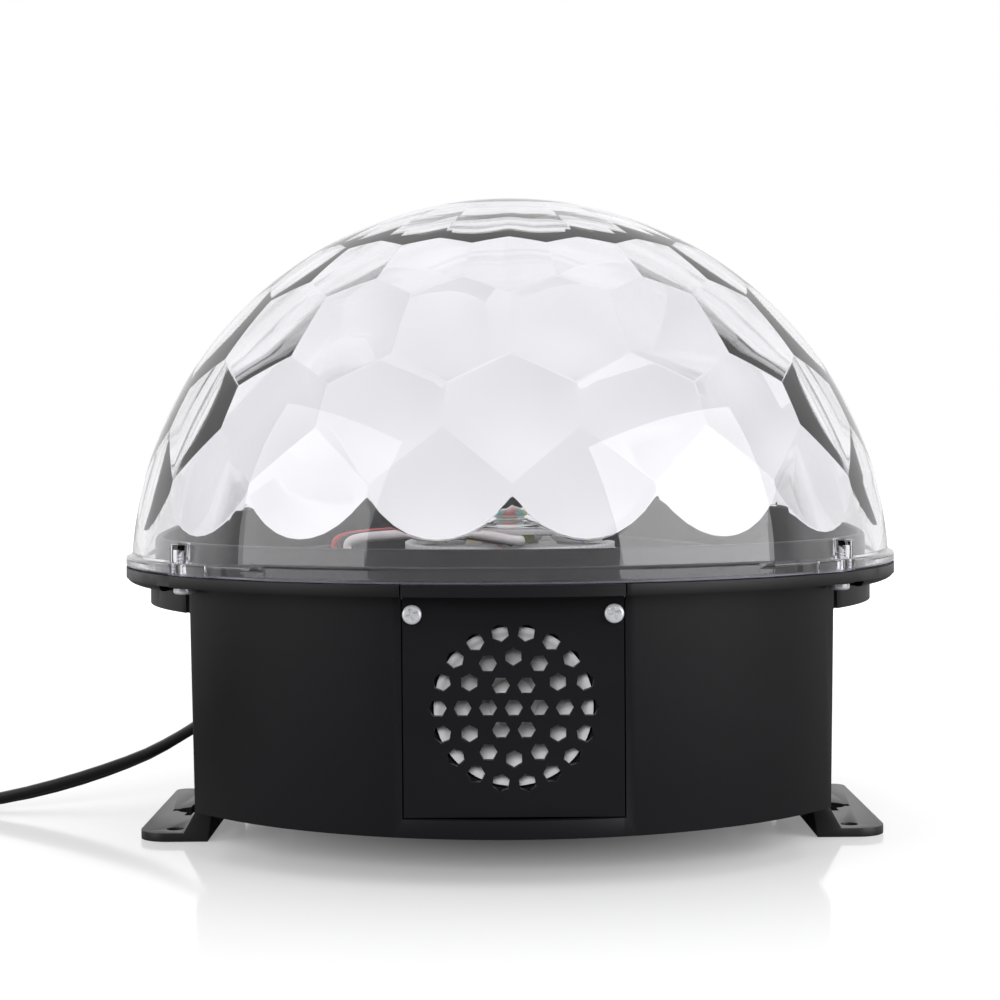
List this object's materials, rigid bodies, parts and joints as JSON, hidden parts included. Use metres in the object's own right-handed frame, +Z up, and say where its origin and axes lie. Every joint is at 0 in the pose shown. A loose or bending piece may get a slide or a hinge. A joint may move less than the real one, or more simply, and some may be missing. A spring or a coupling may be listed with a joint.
{
  "type": "led disco ball light",
  "caption": "Effect light: a turning LED head with lenses under a clear faceted dome, on a black base with a small loudspeaker, foot brackets and a flat mains cord.",
  "frame": {"origin": "on the surface it stands on, under the middle of the base", "axes": "+Z up; the loudspeaker faces -Y; the cord leaves at -X"},
  "size_m": [0.3535, 0.2076, 0.1644],
  "materials": {
    "black_abs": "satin black moulded ABS with a fine texture",
    "clear_ps": "clear polished polystyrene, lens facets on the inside",
    "chromed_steel": "bright plated steel",
    "zinc_steel": "zinc-plated steel",
    "grey_paper": "pale grey pressed paper",
    "ferrite": "dull grey ferrite",
    "aluminium": "bare extruded aluminium",
    "white_board": "white solder mask",
    "green_board": "green solder mask",
    "red_pvc": "red lead insulation",
    "white_pvc": "white lead insulation",
    "black_pvc": "black flexible PVC",
    "copper": "enamelled copper wire",
    "smoke_window": "dark red infrared window",
    "grey_button": "grey moulded plastic",
    "brass": "bright brass",
    "foot_nylon": "semi-gloss black nylon"
  },
  "bodies": {
    "base": {"base_housing": "black_abs", "bottom_cover": "black_abs", "cable_gland": "black_pvc", "card_socket": "zinc_steel", "control_board": "green_board", "crystal_dome": "clear_ps", "deck_plate": "black_abs", "deck_screw_left": "zinc_steel", "deck_screw_right": "zinc_steel", "dome_screw_front_left": "chromed_steel", "dome_screw_front_right": "chromed_steel", "dome_screw_rear_left": "chromed_steel", "dome_screw_rear_right": "chromed_steel", "foot_screw_front_left": "zinc_steel", "foot_screw_front_right": "zinc_steel", "foot_screw_rear_left": "zinc_steel", "foot_screw_rear_right": "zinc_steel", "inner_mains_lead": "black_pvc", "left_foot": "foot_nylon", "motor_can": "zinc_steel", "motor_screw_left": "zinc_steel", "motor_screw_right": "zinc_steel", "plug_blade_left": "brass", "plug_blade_right": "brass", "plug_body": "black_pvc", "power_board": "green_board", "power_cord": "black_pvc", "power_cord_coil": "black_pvc", "rear_panel": "black_abs", "rear_panel_screws_left": "chromed_steel", "rear_panel_screws_right": "chromed_steel", "right_foot": "foot_nylon", "rocker_housing": "black_abs", "sensor_window": "smoke_window", "speaker_cone": "grey_paper", "speaker_dust_cap": "grey_paper", "speaker_frame": "zinc_steel", "speaker_magnet": "ferrite", "speaker_panel": "black_abs", "speaker_panel_screws_left": "chromed_steel", "speaker_panel_screws_right": "chromed_steel", "transformer_core": "ferrite", "transformer_winding": "copper", "usb_socket": "zinc_steel"},
    "led_head": {"motor_shaft": "zinc_steel", "turntable": "black_abs", "heat_sink": "aluminium", "led_board": "white_board", "lens_holder": "clear_ps", "lens_array": "clear_ps", "centre_lens": "clear_ps", "wire_connector": "white_pvc", "red_wire": "red_pvc", "white_wire": "white_pvc", "black_wire": "black_pvc"},
    "rocker": {"power_rocker": "black_abs"},
    "mode_key": {"mode_button": "grey_button"},
    "previous_key": {"previous_button": "grey_button"},
    "play_key": {"play_button": "grey_button"},
    "next_key": {"next_button": "grey_button"}
  },
  "joints": [
    {"name": "head_spin", "type": "hinge", "parent": "base", "child": "led_head", "pos_m": [0, 0, 0.06], "axis": [0, 0, 1], "range_deg": [-170, 170]},
    {"name": "power_rock", "type": "hinge", "parent": "base", "child": "rocker", "pos_m": [0, 0.0918, 0.051], "axis": [0, 0, 1], "range_deg": [0, 20]},
    {"name": "mode_key_press", "type": "slide", "parent": "base", "child": "mode_key", "axis": [0, -1, 0], "range_m": [0, 0.0005], "stiffness_N_per_m": 400},
    {"name": "previous_key_press", "type": "slide", "parent": "base", "child": "previous_key", "axis": [0, -1, 0], "range_m": [0, 0.0005], "stiffness_N_per_m": 400},
    {"name": "play_key_press", "type": "slide", "parent": "base", "child": "play_key", "axis": [0, -1, 0], "range_m": [0, 0.0005], "stiffness_N_per_m": 400},
    {"name": "next_key_press", "type": "slide", "parent": "base", "child": "next_key", "axis": [0, -1, 0], "range_m": [0, 0.0005], "stiffness_N_per_m": 400}
  ]
}
